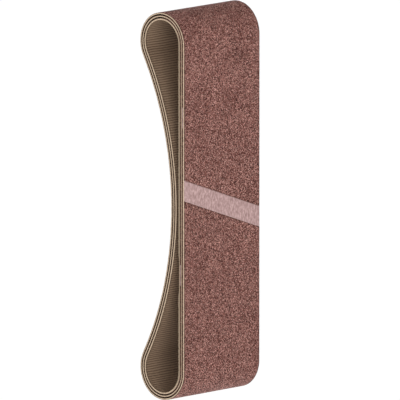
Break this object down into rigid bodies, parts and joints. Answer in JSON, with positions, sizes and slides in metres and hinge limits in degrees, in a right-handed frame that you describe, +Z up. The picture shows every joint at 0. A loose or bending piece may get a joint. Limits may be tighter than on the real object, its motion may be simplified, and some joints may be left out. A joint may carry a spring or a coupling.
{
  "type": "nested sanding belt pack",
  "caption": "Cloth-backed sanding belts nested one inside another, flat on the working side and pinched at the back into round end loops, each with a slanting splice.",
  "frame": {"origin": "mid-width, on the inside of the innermost belt's top loop at its crown, where a peg carries the pack", "axes": "+X out of the flat working side, +Y across the belts' width away from the near edge, +Z up along the pack"},
  "size_m": [0.0436, 0.0762, 0.2775],
  "materials": {
    "grain_coat": "matte",
    "cloth_backing": "matte",
    "splice_film": "matte",
    "splice_tape": "satin"
  },
  "bodies": {
    "inner_belt": {"inner_grain_coat": "grain_coat", "inner_cloth_backing": "cloth_backing", "inner_splice_film": "splice_film", "inner_splice_tape": "splice_tape"},
    "middle_belt": {"middle_grain_coat": "grain_coat", "middle_cloth_backing": "cloth_backing", "middle_splice_film": "splice_film", "middle_splice_tape": "splice_tape"},
    "outer_belt": {"outer_grain_coat": "grain_coat", "outer_cloth_backing": "cloth_backing", "outer_splice_film": "splice_film", "outer_splice_tape": "splice_tape"}
  },
  "joints": [
    {"name": "middle_belt_slide", "type": "slide", "parent": "inner_belt", "child": "middle_belt", "axis": [0, 1, 0], "range_m": [-0.085, 0.085]},
    {"name": "outer_belt_slide", "type": "slide", "parent": "middle_belt", "child": "outer_belt", "axis": [0, 1, 0], "range_m": [-0.085, 0.085]}
  ]
}
